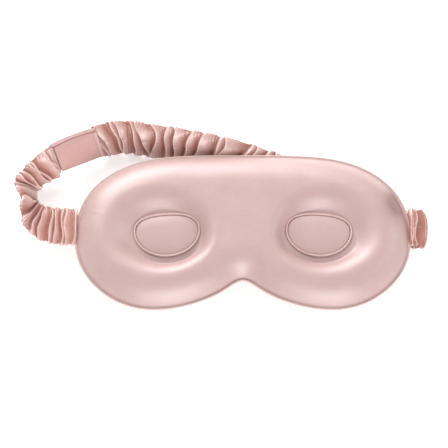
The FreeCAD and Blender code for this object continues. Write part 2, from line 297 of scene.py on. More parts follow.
SATIN = cloth_material("satin", (0.462, 0.309, 0.293), (0.492, 0.333, 0.317), 0.42, 0.05, 0.22, 14.0,
                       specular=0.95, painted_light_ramp=((1.0, 1.0, 1.0), (0.52, 0.40, 0.37)))
# The strap's satin, made lighter than the mask's to offset the shade the strap lies in; its ramp paints a
# highlight on each crest and shade in each valley.
STRAP_SATIN = cloth_material("strap_satin", (0.59, 0.385, 0.35), (0.64, 0.425, 0.39), 0.30, 0.05, 0.22, 9.0,
                             specular=0.9, painted_light_ramp=((1.5, 1.85, 1.9), (1.05, 1.05, 1.05), (0.58, 0.33, 0.26)))
PIPING_SATIN = cloth_material("piping", (0.53, 0.36, 0.33), (0.57, 0.39, 0.36), 0.36, 0.05, 0.22, 6.0,
                              slub_mm=(1.2, 1.2, 1.2))
STRIP_SATIN = cloth_material("strip_satin", (0.53, 0.335, 0.305), (0.57, 0.365, 0.335), 0.42, 0.05, 0.22, 8.0)
PANEL_CLOTH = cloth_material("panel_cloth", (0.50, 0.275, 0.252), (0.53, 0.298, 0.275), 0.5, 0.08, 0.3, 8.0)
THREAD = cloth_material("thread", (0.48, 0.30, 0.27), (0.53, 0.34, 0.30), 0.55, 0.1, 0.15, 2.0)
LINING = cloth_material("lining", (0.015, 0.015, 0.017), (0.03, 0.03, 0.033), 0.7, 0.1, 0.3, 10.0)
ELASTIC = cloth_material("elastic", (0.62, 0.45, 0.42), (0.7, 0.52, 0.48), 0.65, 0.1, 0.8, 6.0,
                         weave_depth=0.0001)
FOAM = cell_material("foam", (0.75, 0.70, 0.66), 0.72, 0.625, 1.0, 0.92, 0.6, 0.3)
HOOK_TAPE = cell_material("hook_tape", (0.72, 0.52, 0.48), 0.8, 0.9, 0.35, 0.45, 0.7, 0.35)
LOOP_TAPE = cell_material("loop_tape", (0.78, 0.6, 0.56), 0.8, 0.5, 0.35, 0.9, 0.7, 0.25)


# ---------------------------------------- mesh helpers

def mesh_object(name, points, faces, material):
    """A mesh from points in millimetres."""
    mesh = bpy.data.meshes.new(name)
    mesh.from_pydata([tuple(p) for p in np.asarray(points, float) * MM], [], faces)
    mesh.update()
    mesh.shade_smooth()
    obj = bpy.data.objects.new(name, mesh)
    bpy.context.scene.collection.objects.link(obj)
    mesh.materials.append(material)
    return obj


def unit(vectors):
    """Each row scaled to a length of 1."""
    return vectors / np.linalg.norm(vectors, axis=1)[:, None]


def travel_along(points):
    """How far along a line each of its points is."""
    return np.concatenate([[0], np.cumsum(np.linalg.norm(np.diff(points, axis=0), axis=1))])


def ring_faces(a, b, count):
    """Faces between two rings of count points, which start at points a and b."""
    return [(a + j, a + (j + 1) % count, b + (j + 1) % count, b + j) for j in range(count)]


def fan(middle, edge, shares):
    """Points and faces of a disc: its middle, then a ring at each share of the way to its edge."""
    points = np.vstack([[middle]] + [middle + (edge - middle) * s for s in shares])
    count = len(edge)
    faces = [(0, 1 + (j + 1) % count, 1 + j) for j in range(count)]
    for a in range(1, len(points) - count, count):
        faces += ring_faces(a, a + count, count)
    return points, faces


def closed_spline(points, count):
    """Points evenly spaced along the smooth closed curve through those given."""
    p = np.array(points, float)
    n = len(p)
    ahead = np.roll(p, -1, 0)
    step = np.linalg.norm(ahead - p, axis=1)
    matrix = np.zeros((n, n))
    right = np.zeros((n, 2))
    for i in range(n):
        before, after = step[i - 1], step[i]
        matrix[i, i - 1] += before
        matrix[i, i] += 2 * (before + after)
        matrix[i, (i + 1) % n] += after
        right[i] = 6 * ((ahead[i] - p[i]) / after - (p[i] - p[i - 1]) / before)
    bend = np.linalg.solve(matrix, right)
    fine = []
    for i in range(n):
        u = np.linspace(0, 1, 60, endpoint=False)[:, None]
        h, m0, m1 = step[i], bend[i], bend[(i + 1) % n]
        a, b = 1 - u, u
        fine.append(a * p[i] + b * ahead[i] + ((a ** 3 - a) * m0 + (b ** 3 - b) * m1) * h * h / 6)
    fine = np.vstack(fine)
    closed = np.vstack([fine, fine[:1]])
    travel = travel_along(closed)
    at = np.linspace(0, travel[-1], count, endpoint=False)
    return np.stack([np.interp(at, travel, closed[:, k]) for k in (0, 1)], 1)


def noise_at(points, seed=0.0):
    """Smooth noise, about -1 to 1, at each point."""
    return np.array([noise.noise(Vector((a, b, c + seed))) for a, b, c in points])


def noise_over(xy, size, layer):
    """Smooth noise over a plan, with lumps of about that size."""
    return noise_at(np.column_stack([xy / size, np.full(len(xy), layer)]))


OUTLINE = closed_spline(HALF_OUTLINE + [(-x, y) for x, y in HALF_OUTLINE[-2:0:-1]], SPOKES)
AHEAD = unit(np.roll(OUTLINE, -1, 0) - np.roll(OUTLINE, 1, 0))
INWARD = np.stack([AHEAD[:, 1], -AHEAD[:, 0]], 1)
PERIMETER = float(np.linalg.norm(OUTLINE - np.roll(OUTLINE, 1, 0), axis=1).sum())


def depth_inside(xy):
    """Distance in from the seam, and how far along the seam the nearest place is."""
    depth = np.empty(len(xy))
    along = np.empty(len(xy))
    for start in range(0, len(xy), 4000):
        part = xy[start:start + 4000]
        gap = part[:, None, :] - OUTLINE[None, :, :]
        nearest = (gap ** 2).sum(2).argmin(1)
        offset = gap[np.arange(len(part)), nearest]
        depth[start:start + 4000] = (offset * INWARD[nearest]).sum(1)
        slide = (offset * AHEAD[nearest]).sum(1)
        along[start:start + 4000] = nearest * PERIMETER / SPOKES + slide
    return depth, along


def oval_share(along, across):
    """Radius as a share of the eye panel's, at a place along and across it from its middle."""
    power = UPPER_SQUARE
    upper = (np.abs(along / OVAL[2]) ** power + np.abs(across / OVAL[3]) ** power) ** (1 / power)
    return np.where(across > 0, upper, np.hypot(along / OVAL[2], across / OVAL[4]))


def oval_ratio(xy):
    """Radius as a share of the nearer eye panel's, at a place in plan."""
    dx, dy = np.abs(xy[:, 0]) - OVAL[0], xy[:, 1] - OVAL[1]
    cos, sin = math.cos(OVAL_TILT), math.sin(OVAL_TILT)
    return oval_share(dx * cos - dy * sin, dx * sin + dy * cos)


def ellipse_ratio(xy, ellipse):
    """Radius as a share of the nearer eye's ellipse: centre x, y and half axes."""
    cx, cy, a, b = ellipse
    return np.hypot((np.abs(xy[:, 0]) - cx) / a, (xy[:, 1] - cy) / b)


def wall_share(xy):
    """0 on a bowl's floor, 1 outside its crest, rising along its wall."""
    floor, crest = ellipse_ratio(xy, FLOOR), ellipse_ratio(xy, BOWL)
    up, down = np.maximum(floor - 1, 0), np.maximum(1 - crest, 0)
    return np.where(crest >= 1, 1.0, up / (up + down + 1e-9))


def below_eye(xy):
    """1 below the eye panel, towards the nose's tip, and 0 beside and above it."""
    dx, dy = np.abs(xy[:, 0]) - FLOOR[0], xy[:, 1] - FLOOR[1]
    share = np.clip((-dy / (np.hypot(dx, dy) + 1e-9) - 0.25) / 0.5, 0, 1)
    return share ** 2 * (3 - 2 * share)


def face_height(xy, depth):
    """The padded face: rolled up from the seam, over a crest and down into each bowl. The
    wall runs smoothly into the floor, except below the eye, where they meet in a crease."""
    d = np.clip(depth / PAD_ROUND, 0, 1)
    top = SEAM_Z + PAD_RISE * (1 - (1 - d) ** 3)
    share = wall_share(xy)
    easy = 0.2 * share + 0.4 - 0.4 * np.cos(math.pi * share)
    soft = np.clip(share ** 2 / (share + 0.12) * 1.12, 0, 1)
    rolled = 1 - (1 - soft) ** 1.8
    below = below_eye(xy)
    trench = TRENCH * below * np.exp(-(share / 0.12) ** 2) * np.clip((oval_ratio(xy) - 1) * 4, 0, 1)
    return FLOOR_Z + (top - FLOOR_Z) * (easy * (1 - below) + rolled * below) - trench


def dent_share(xy, depth):
    """1 in the middle of the dent that the strap's pull leaves beside its right root."""
    along_dent = (xy - DENT) @ DENT_ALONG
    shallow = np.clip(depth, 0, None) / DENT_WIDE
    return np.exp(-(along_dent / DENT_LONG) ** 2) * (xy[:, 0] > 60) * shallow * np.exp(1 - shallow)


def face_relief(xy, depth, along):
    """Slight unevenness of cloth over padding, and fine puckers beside the seam."""
    relief = 0.28 * noise_over(xy, 26.0, 0.0) + 0.07 * noise_over(xy, 9.0, 3.0)
    angle = along / PERIMETER * 2 * math.pi
    ring = PERIMETER / (2 * math.pi)
    pull = np.column_stack([np.cos(angle) * ring / 3.2, np.sin(angle) * ring / 3.2, depth / 14.0])
    pucker = np.abs(noise_at(pull, 7.0))
    root = np.exp(-((xy[:, 1] - 3.0) / 17.0) ** 2) * (xy[:, 0] < 0)
    strength = (0.16 + 0.5 * root) * np.exp(-np.maximum(depth, 0) / (4.0 + 5.0 * root))
    return relief * np.clip(depth / 10.0, 0, 1) - strength * pucker - DENT_DEEP * dent_share(xy, depth)


def outer_height(xy, depth):
    """The outer side: from the seam down to the flat place that it rests on."""
    q = np.hypot(xy[:, 0] / REST_X, (xy[:, 1] - REST_MID_Y) / REST_Y)
    out = np.where(q <= 1, 0.0, np.hypot(xy[:, 0], xy[:, 1] - REST_MID_Y) * (1 - 1 / np.maximum(q, 1e-9)))
    share = np.clip(depth, 0, None) / (np.abs(depth) + out + 1e-9)
    return np.maximum((SEAM_Z + REST_DIP) * (1 - share) - REST_DIP, 0)


def mask_plan(inset):
    """Points and faces that fill the outline, from its middle to inset from the seam."""
    return fan(MASK_MIDDLE, OUTLINE + INWARD * inset, np.linspace(0, 1, RINGS + 1)[1:])


def shell(name, xy, faces, upper, lower, material):
    """A closed sheet between two height fields over the same plan, whatever its holes."""
    count = len(xy)
    top = np.column_stack([xy, upper])
    bottom = np.column_stack([xy, lower])
    flipped = [tuple(i + count for i in reversed(face)) for face in faces]
    edges = dict.fromkeys(edge for face in faces for edge in zip(face, face[1:] + face[:1]))
    sides = [(b, a, a + count, b + count) for a, b in edges if (b, a) not in edges]
    used = sorted({i for face in faces for i in face})
    index = {old: new for new, old in enumerate(used)}
    total = len(used)

    def renumber(face):
        return tuple(index[i] if i < count else index[i - count] + total for i in face)

    points = np.vstack([top[used], bottom[used]])
    return mesh_object(name, points, [renumber(f) for f in faces + flipped + sides], material)


def tube(name, path, outward, radius, sides, flute, pitch, seed=0.0):
    """A closed cord along a level path, its cloth drawn into fine flutes."""
    count = len(path)
    travel = travel_along(path)
    whole = travel[-1] + np.linalg.norm(path[0] - path[-1])
    turn = 2 * math.pi * travel / whole
    ring = whole / (2 * math.pi) / pitch
    points = []
    for j in range(sides):
        angle = 2 * math.pi * j / sides
        layer = np.full(count, seed + 0.4 * math.cos(angle))
        place = np.column_stack([np.cos(turn) * ring, np.sin(turn) * ring, layer])
        r = radius * (1 + flute * noise_at(place))
        points.append(path + outward * (r * math.cos(angle))[:, None]
                      + np.array([0, 0, 1.0]) * (r * math.sin(angle))[:, None])
    points = np.stack(points, 1).reshape(-1, 3)
    faces = []
    for i in range(count):
        faces += ring_faces((i + 1) % count * sides, i * sides, sides)
    return mesh_object(name, points, faces, PIPING_SATIN)


def take_place(piece, body, node):
    """The piece rides on a body in place of a CAD node, which it hides."""
    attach(piece, body)
    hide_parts(node)


# ---------------------------------------- mask

def oval_path(side):
    """The eye panel's edge, evenly spaced."""
    angle = np.linspace(0, 2 * math.pi, 2000)
    along, across = np.stack([np.cos(angle), np.sin(angle)]) / oval_share(np.cos(angle), np.sin(angle))
    x = OVAL[0] + along * math.cos(OVAL_TILT) + across * math.sin(OVAL_TILT)
    y = OVAL[1] - along * math.sin(OVAL_TILT) + across * math.cos(OVAL_TILT)
    travel = travel_along(np.stack([x, y], 1))
    at = np.linspace(0, travel[-1], EYE_STEPS, endpoint=False)
    return np.stack([side * np.interp(at, travel, x), np.interp(at, travel, y)], 1)


def groove_shade(xy):
    """How much painted shade a point gets: most beside the eye piping and the seam, in the crease below the
    eye and in the dent.
    """
    depth, _ = depth_inside(xy)
    ratio = oval_ratio(xy)
    beside = (ratio - 1) * (OVAL[2] + OVAL[3]) / 2
    piping = np.exp(-(np.maximum(np.abs(beside) - 0.6, 0) / 0.7) ** 2)
    share = wall_share(xy)
    below = below_eye(xy) * np.exp(-(share / 0.08) ** 2) * (ratio > 1)
    seam = np.exp(-(np.maximum(depth, 0) / 1.0) ** 2)
    return 0.12 * piping + 0.05 * below + 0.4 * seam + 1.7 * dent_share(xy, depth)


def paint_groove_shade(obj):
    """Stores on the mesh, as its valley value, the painted shade of each of its points in the grooves."""
    co = np.empty(len(obj.data.vertices) * 3)
    obj.data.vertices.foreach_get("co", co)
    value = groove_shade(co.reshape(-1, 3)[:, :2] / MM)
    valley = obj.data.attributes.new("valley", "FLOAT", "POINT")
    valley.data.foreach_set("value", np.clip(value, 0, 1))


def cover_plan():
    """Points and faces of the covers in plan, with a ring of points on each eye opening."""
    xy, faces = mask_plan(COVER_INSET)
    ratio = oval_ratio(xy)
    near = np.abs(ratio - 1) * (OVAL[2] + OVAL[3]) / 2 < OPENING_REACH
    middle = np.column_stack([np.sign(xy[:, 0]) * OVAL[0], np.full(len(xy), OVAL[1])])
    xy[near] = middle[near] + (xy[near] - middle[near]) / ratio[near][:, None]
    return xy, faces


def make_face_cover(xy, faces, depth, along):
    ratio = oval_ratio(xy)
    around_eyes = [face for face in faces if np.mean([ratio[i] for i in face]) > 1.0 + 1e-6]
    height = face_height(xy, depth) + face_relief(xy, depth, along)
    cover = shell("face_cover_satin", xy, around_eyes, height, height - FACE_T, SATIN)
    paint_groove_shade(cover)
    take_place(cover, "mask", "face_cover")
    return cover


def make_outer_cover(xy, faces, depth):
    low = outer_height(xy, depth)
    low = np.maximum(low + 0.25 * noise_over(xy, 20.0, 5.0) * np.clip(low / 3.0, 0, 1), 0.0)
    back = shell("outer_cover_satin", xy, faces, low + OUTER_T, low, SATIN)
    take_place(back, "mask", "outer_cover")
    return back


def make_foam():
    xy, faces = mask_plan(FOAM_INSET)
    depth, along = depth_inside(xy)
    top = face_height(xy, depth) + face_relief(xy, depth, along) - FACE_T - FOAM_GAP
    bottom = outer_height(xy, depth) + OUTER_T + LINING_T + FOAM_GAP
    core = shell("foam_pad", xy, faces, np.maximum(top, bottom + 0.5), bottom, FOAM)
    take_place(core, "mask", "foam_core")
    return core


def make_eye_piping(side, name, ring):
    outward = np.roll(ring, -1, 0) - np.roll(ring, 1, 0)
    outward = unit(np.stack([outward[:, 1], -outward[:, 0]], 1) * side)
    path = np.column_stack([ring, np.full(len(ring), FLOOR_Z + EYE_PIPING_RISE)])
    flat_out = np.column_stack([outward, np.zeros(len(ring))])
    cord = tube(name + "_eye_piping_satin", path, flat_out, EYE_PIPING_R, 12, 0.10, 1.6, side)
    take_place(cord, "mask", name + "_eye_piping")


def make_eye_panel(side, name, ring):
    """The panel of cloth in a bowl's floor, slightly domed."""
    middle = np.array([side * OVAL[0], OVAL[1]])
    shares = np.linspace(0, 1, PANEL_RINGS + 1)[1:]
    xy, faces = fan(middle, ring, shares * PANEL_SHARE)
    faces = [face[::-side] for face in faces]
    share = np.concatenate([[0], np.repeat(shares, EYE_STEPS)])
    wave = 0.12 * noise_over(xy, 11.0, 9.0) * (1 - share ** 2)
    height = FLOOR_Z + PANEL_DOME * (1 - share ** 2.6) + wave
    panel = shell(name + "_eye_panel_satin", xy, faces, height, height - FACE_T, SATIN)
    paint_groove_shade(panel)
    take_place(panel, "mask", name + "_eye_panel")


def make_edge_piping():
    path = np.column_stack([OUTLINE - INWARD * PIPING_OUT, np.full(SPOKES, SEAM_Z)])
    flat_out = np.column_stack([-INWARD, np.zeros(SPOKES)])
    edge = tube("edge_piping_satin", path, flat_out, PIPING_R, 14, 0.09, 2.4)
    take_place(edge, "mask", "edge_piping")


def make_mask():
    xy, faces = cover_plan()
    depth, along = depth_inside(xy)
    cover = make_face_cover(xy, faces, depth, along)
    back = make_outer_cover(xy, faces, depth)
    core = make_foam()
    for side, name in ((-1, "left"), (1, "right")):
        ring = oval_path(side)
        make_eye_piping(side, name, ring)
        make_eye_panel(side, name, ring)
    make_edge_piping()
    return cover, back, core


# ---------------------------------------- strap

def direction(degrees, lean=0.0):
    """A unit vector, by its heading in plan and its lean above flat."""
    a, b = math.radians(degrees), math.radians(lean)
    return np.array([math.cos(a) * math.cos(b), math.sin(a) * math.cos(b), math.sin(b)])


def station(x, y, z, out, lean):
    """The band's middle and its direction across, from its lower edge, which rests on the
    table where z is None."""
    across = direction(out, lean)
    if z is None:
        z = TABLE_GAP + BAND_T / 2 * math.cos(math.radians(lean))
    return np.array([x, y, z]) + across * BAND_W / 2, across


# The closure's own axes, and the middle of its left end, where the two tapes meet.
ALONG = direction(CLOSURE_HEADING)
ACROSS = direction(CLOSURE_HEADING + 90.0, CLOSURE_LEAN)
FACING = np.cross(ALONG, ACROSS)
HALF_STEP = (BAND_T + MATE_GAP) / 2
MATE = station(*CLOSURE_AT, None, CLOSURE_HEADING + 90.0, CLOSURE_LEAN)[0] + FACING * HALF_STEP


def smooth_line(values, shares):
    """Points on a smooth line through values; a share of 1.5 is half way from 1 to 2."""
    values = np.asarray(values)
    padded = np.vstack([values[:1] * 2 - values[1:2], values, values[-1:] * 2 - values[-2:-1]])
    i = np.clip(shares.astype(int), 0, len(values) - 2)
    s = (shares - i)[:, None]
    before, a, b, after = padded[i], padded[i + 1], padded[i + 2], padded[i + 3]
    return (a * 2 + (b - before) * s + (before * 2 - a * 5 + b * 4 - after) * s ** 2
            + (a * 3 - before - b * 3 + after) * s ** 3) * 0.5


def rings_along(stations):
    """Evenly spaced middles with their across and facing directions and travel."""
    middles = [middle for middle, across in stations]
    acrosses = [across for middle, across in stations]
    shares = np.linspace(0, len(stations) - 1, 60 * (len(stations) - 1) + 1)
    line = smooth_line(middles, shares)
    travel = travel_along(line)
    count = int(travel[-1] / STRAP_STEP) + 1
    at = np.linspace(0, travel[-1], count)
    even = np.interp(at, travel, shares)
    middle = smooth_line(middles, even)
    across = unit(smooth_line(acrosses, even))
    facing = unit(np.cross(np.gradient(middle, axis=0), across))
    return middle, across, facing, at, even


def noise_on_sleeve(x, y, z, seed):
    """Smooth noise at places given along and round a sleeve, spread to one grid."""
    grid = np.broadcast_arrays(x, y, z)
    return noise_at(np.stack(grid, 2).reshape(-1, 3), seed).reshape(grid[0].shape)


def fold_heights(travel, angle, spacing, valley_at, lean, shade, seed):
    """Height of the gathered cloth, and its painted light: a highlight on each crest and shade
    down in each valley. It is 0 high on its crests, which run across the band, wander, meet
    and part again. Beside each crest it drops into a narrow valley, from which a broad plane
    rises to the next crest."""
    u, v = np.cos(angle), np.sin(angle)
    folds = np.concatenate([[0], np.cumsum(np.diff(travel) / spacing[1:])])
    count = int(folds[-1]) + 10
    order = np.arange(count)
    jitter = noise_at(np.stack([order * 1.37, 0 * order, 0 * order], 1), seed)
    start = order - 4.5 + SCATTER * jitter
    tilt = np.interp(start, folds, lean / spacing)
    wander = noise_on_sleeve(order[:, None] * 2.9, u[None, :] * 0.62, v[None, :] * 0.7, seed + 17)
    lines = start[:, None] + tilt[:, None] * u[None, :] * BAND_W / 2 + WANDER * wander
    lines = np.sort(lines, axis=0)
    height = np.empty((len(travel), len(angle)))
    painted_tone = np.empty_like(height)
    bulge = np.clip(spacing / 4.0, 0.7, 1.6)
    steepness = np.clip(1.02 - 0.065 * spacing, 0.42, 0.8)
    for j in range(len(angle)):
        line = lines[:, j]
        k = np.clip(np.searchsorted(line, folds) - 1, 0, count - 2)
        gap = np.maximum(line[k + 1] - line[k], 1e-6)
        share = np.clip((folds - line[k]) / gap, 0, 1)
        before, after = share / valley_at, (1 - share) / (1 - valley_at)
        plane, drop = (before, after) if valley_at > 0.5 else (after, before)
        down = np.where(plane < 1, np.clip(plane, 0, 1) ** bulge, np.clip(drop, 0, 1))
        wide = gap * spacing
        crest = np.exp(-(np.minimum(share, 1 - share) * wide / CREST_W) ** 2)
        height[:, j] = CREST_RISE * crest - np.minimum(steepness * wide, FOLD_DEEP) * down
        # Painted light value: 0 paints the highlight on a crest; it rises with painted shade into each valley
        # and with the shade added.
        painted_tone[:, j] = np.clip((MIDDLE_AT + shade) * (1 - crest) + down * np.clip(wide / 2.4, 0.3, 0.95), 0, 1)
    height[1:-1] = 0.25 * height[:-2] + 0.5 * height[1:-1] + 0.25 * height[2:]
    return height, painted_tone


def gathered_sleeve(stations, seed, spacing, valley_at, fullness, lean, shade):
    """Rings of points round a gathered sleeve, before it is cut into pieces."""
    middle, across, facing, travel, place = rings_along(stations)
    angle = np.linspace(0, 2 * math.pi, AROUND, endpoint=False)
    u, v = np.cos(angle)[None, :], np.sin(angle)[None, :]
    spacing, lean, shade = (np.interp(place, *zip(*values)) for values in (spacing, lean, shade))
    full = np.interp(place, *zip(*fullness))[:, None]
    height, painted_tone = fold_heights(travel, angle, spacing, valley_at, lean, shade, seed)
    column = travel[:, None]
    crease = noise_on_sleeve(column / 2.6, u * 3.1, v * 2.0, seed + 31)
    frill = noise_on_sleeve(column / 8.0, np.sign(u) * 3.0, 0 * u, seed + 5)
    stitch = np.exp(-(u * BAND_W / 2) ** 2)
    edge = np.abs(u) ** 3
    wave = np.sin(column * 2 * math.pi / RIPPLE_PITCH + 5 * frill + 2 * v)
    ripple = wave * np.clip(0.5 + 1.5 * frill, 0, 1) * np.clip((np.abs(u) - 0.55) / 0.35, 0, 1)
    half_w = BAND_W / 2 + full * (0.5 * frill + (0.45 * height + 0.7) * edge + 0.3 * ripple)
    half_t = BAND_T / 2 * (0.5 + 0.5 * (1 - np.abs(u) ** 4))
    swell = full * (SWELL + height * (1 - 0.15 * stitch) - 0.25 * stitch + 0.14 * crease + 0.3 * ripple)
    thick = np.maximum(half_t + swell * (1 - 0.35 * edge), LEAST_HALF_T)
    side = np.sign(v) * np.abs(v) ** 0.48
    points = (middle[:, None, :] + across[:, None, :] * (u * half_w)[:, :, None]
              + facing[:, None, :] * (side * thick)[:, :, None])
    points[:, :, 2] = np.maximum(points[:, :, 2], 0.05)
    # The painted light on the sleeve: crest highlights and shade down each valley, plain where the sleeve is
    # flat.
    valley = np.clip(painted_tone + 0.15 * ripple, 0, 1) * full + MIDDLE_AT * (1 - full)
    return {"points": points, "travel": travel, "place": place, "across": across, "facing": facing,
            "valley": valley}


def sleeve_piece(name, sleeve, first, last):
    """One piece of a sleeve, closed at both ends, from station first to station last."""
    picked = np.where((sleeve["place"] >= first - 1e-9) & (sleeve["place"] <= last + 1e-9))[0]
    count = len(picked)
    points = sleeve["points"][picked].reshape(-1, 3)
    faces = []
    for i in range(count - 1):
        faces += ring_faces(i * AROUND, (i + 1) * AROUND, AROUND)
    for i, order in ((0, -1), (count - 1, 1)):
        half = AROUND // 2
        for j in range(half):
            a, b = i * AROUND + j, i * AROUND + j + 1
            c, d = i * AROUND + (AROUND - j - 1) % AROUND, i * AROUND + (AROUND - j) % AROUND
            unique = list(dict.fromkeys([a, b, c, d]))
            if len(unique) >= 3:
                faces.append(tuple(unique[::order]))
    obj = mesh_object(name, points, faces, STRAP_SATIN)
    # The painted light along its folds, kept on the mesh for the strap satin.
    valley = obj.data.attributes.new("valley", "FLOAT", "POINT")
    valley.data.foreach_set("value", sleeve["valley"][picked].ravel())
    return obj


def add_stitch(points, faces, places, width, lift=0.0):
    """One stitch, a small rounded bar. Each place is a middle and the ways up and across."""
    base, last = len(points), len(places) - 1
    for n, (centre, up, wide) in enumerate(places):
        half = width / 2 * math.sqrt(max(1 - (2 * n / last - 1) ** 4, 0.05))
        for j in range(STITCH_SIDES):
            angle = 2 * math.pi * j / STITCH_SIDES
            points.append(centre + wide * (half * math.cos(angle)) + up * (lift + half * math.sin(angle)))
    for n in range(last):
        faces += ring_faces(base + n * STITCH_SIDES, base + (n + 1) * STITCH_SIDES, STITCH_SIDES)
    faces.append(tuple(base + j for j in reversed(range(STITCH_SIDES))))
    faces.append(tuple(base + last * STITCH_SIDES + j for j in range(STITCH_SIDES)))


def stitches(name, sleeve, first, last, front):
    """The row of stitches along a sleeve's middle."""
    at = AROUND // 4 if front else 3 * AROUND // 4
    picked = np.where((sleeve["place"] >= first) & (sleeve["place"] <= last))[0]
    travel = sleeve["travel"][picked]
    out = sleeve["facing"][picked] * (1 if front else -1)
    lines = (sleeve["points"][picked, at], out, sleeve["across"][picked])
    length, gap, width = SLEEVE_STITCH
    points, faces = [], []
    start = travel[0] + gap
    while start + length < travel[-1]:
        places = [[np.array([np.interp(s, travel, line[:, k]) for k in range(3)]) for line in lines]
                  for s in np.linspace(start, start + length, STITCH_RINGS)]
        add_stitch(points, faces, places, width, 0.12)
        start += length + gap
    points = np.array(points)
    points[:, 2] = np.maximum(points[:, 2], 0.02)
    return mesh_object(name, points, faces, THREAD)


def strap_length(sleeve, cloth_name, span, nodes_replaced, row_name, row_span, bodies, bend, front=True):
    """A length of gathered sleeve and its row of stitches, which are treated alike: they ride on the
    bodies or, where a bend is given, stay in place. Spans are in stations."""
    cloth = sleeve_piece(cloth_name, sleeve, *span)
    row = stitches(row_name, sleeve, *row_span, front)
    for piece in (cloth, row):
        if bend:
            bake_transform(piece)
        else:
            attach(piece, *bodies)
    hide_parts(*nodes_replaced)
    return row


def make_left_strap():
    """From the left seam, down round the turn, to the closure."""
    route = [station(*row) for row in LEFT_ROUTE]
    route[0] = (route[0][0] + np.array([ROOT_TUCK, 0, 0]), route[0][1])
    closure_end = MATE + FACING * HALF_STEP
    route.append((closure_end, ACROSS))
    sleeve = gathered_sleeve(route, **LEFT_GATHERS)
    row = strap_length(sleeve, "left_root_gathers", (0, 4), ["left_root_gather", "left_sleeve"],
                       "left_centre_stitches", (0.15, 4), ("mask", "left_strap"), LEFT_BEND)
    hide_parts("left_centre_thread")
    stretch = {"start": tuple(closure_end * MM - ALONG * 0.018), "end": tuple(closure_end * MM)}
    strap_length(sleeve, "left_sleeve_gathers", (4, 9), ["left_end_sleeve"],
                 "left_turn_stitches", (4, 8.9), ("left_strap", "closure_end"), stretch)


def make_right_strap():
    """From the closure, behind and under the mask, to the fold at the right seam."""
    closure_end = MATE + ALONG * PANEL_L - FACING * HALF_STEP
    route = [(closure_end, ACROSS)] + [station(*row) for row in RIGHT_ROUTE]
    route += [(np.array(middle), direction(out)) for middle, out in RIGHT_FOLD]
    route[-1] = (route[-1][0] - np.array([ROOT_TUCK, 0, 0]), route[-1][1])
    sleeve = gathered_sleeve(route, **RIGHT_GATHERS)
    stretch = {"start": tuple(closure_end * MM + ALONG * 0.022), "end": tuple(closure_end * MM)}
    strap_length(sleeve, "right_end_gathers", (0, 2), ["right_end_sleeve"],
                 "right_end_stitches", (0.15, 2), ("right_strap", "landing"), stretch)
    row = strap_length(sleeve, "right_sleeve_gathers", (2, 11), ["right_sleeve"],
                       "right_centre_stitches", (2.05, 10.9), ("right_strap",), None)
    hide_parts("right_centre_thread")
    strap_length(sleeve, "right_root_gathers", (11, 16), ["right_root_gather"],
                 "right_root_stitches", (11.2, 15.9), ("mask", "right_strap"), RIGHT_BEND, front=False)


def make_elastics():
    """Each elastic inside its sleeve, a copy of its CAD node in the elastic's material, left in place."""
    for side, bend in (("left", LEFT_BEND), ("right", RIGHT_BEND)):
        node = nodes[side + "_elastic"]
        mesh = node.data.copy()
        mesh.transform(node.matrix_world)
        mesh.materials.clear()
        mesh.materials.append(ELASTIC)
        band = bpy.data.objects.new(side + "_elastic_band", mesh)
        bpy.context.scene.collection.objects.link(band)
        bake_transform(band)
        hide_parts(side + "_elastic")


# ---------------------------------------- closure

def on_closure(x, y, z):
    """A place given along, across and out from the closure."""
    return MATE + ALONG * x + ACROSS * y + FACING * z


def cloth_slab(name, start, end, low, high, width, material, shift=0.0, bow=0.0, sag=0.0, seed=0.0,
               curl=0.0):
    """A flat folded piece of cloth on the closure, its edges rounded over. Its upper edge may
    bow outwards, and may curl towards the face side."""
    nu, nv = (max(int(size / CLOTH_STEP), 8) for size in (end - start, width))
    radius = min((high - low) / 2, FOLD_R)
    us = np.linspace(0, 1, nu + 1)
    vs = np.linspace(-1, 1, nv + 1)
    top, bottom = [], []
    middle = (low + high) / 2
    for i, a in enumerate(us):
        for j, b in enumerate(vs):
            x = start + (end - start) * a
            y = shift + b * width / 2 + bow * (1 - (2 * a - 1) ** 2) * (b + 1) / 2
            edge = min(x - start, end - x, (1 - abs(b)) * width / 2)
            round_over = radius * math.sqrt(max(1 - (1 - min(edge / radius, 1)) ** 2, 0.0))
            wave = sag * noise.noise(Vector((x / 9.0, y / 7.0, seed)))
            rise = curl * min(max((y - TAPE_W / 2 - 0.3) / 2.0, 0.0), 1.0) ** 2
            half = (high - low) / 2 - radius
            for side, store in ((1, top), (-1, bottom)):
                z = middle + side * (half + max(round_over, 0.03)) + (wave if side > 0 else 0) + rise
                store.append(on_closure(x, y, z))
    count = len(top)
    faces = []
    row = nv + 1
    for i in range(nu):
        for j in range(nv):
            a = i * row + j
            faces.append((a, a + row, a + row + 1, a + 1))
            faces.append(tuple(count + k for k in (a + 1, a + row + 1, a + row, a)))
    rim = list(range(row)) + [i * row + nv for i in range(1, nu + 1)]
    rim += [nu * row + j for j in range(nv - 1, -1, -1)] + [i * row for i in range(nu - 1, 0, -1)]
    for a, b in zip(rim, rim[1:] + rim[:1]):
        faces.append((a, b, count + b, count + a))
    return mesh_object(name, top + bottom, faces, material)


def stitch_row(name, first, last, up):
    """Stitches along a straight line, proud of the cloth."""
    length, gap, width = CLOSURE_STITCH
    whole = np.linalg.norm(last - first)
    run = (last - first) / whole
    wide = np.cross(up, run)
    points, faces = [], []
    at = gap / 2
    while at + length < whole:
        shares = np.linspace(0, 1, STITCH_RINGS)
        add_stitch(points, faces, [(first + run * (at + length * s), up, wide) for s in shares], width)
        at += length + gap
    return mesh_object(name, points, faces, THREAD)


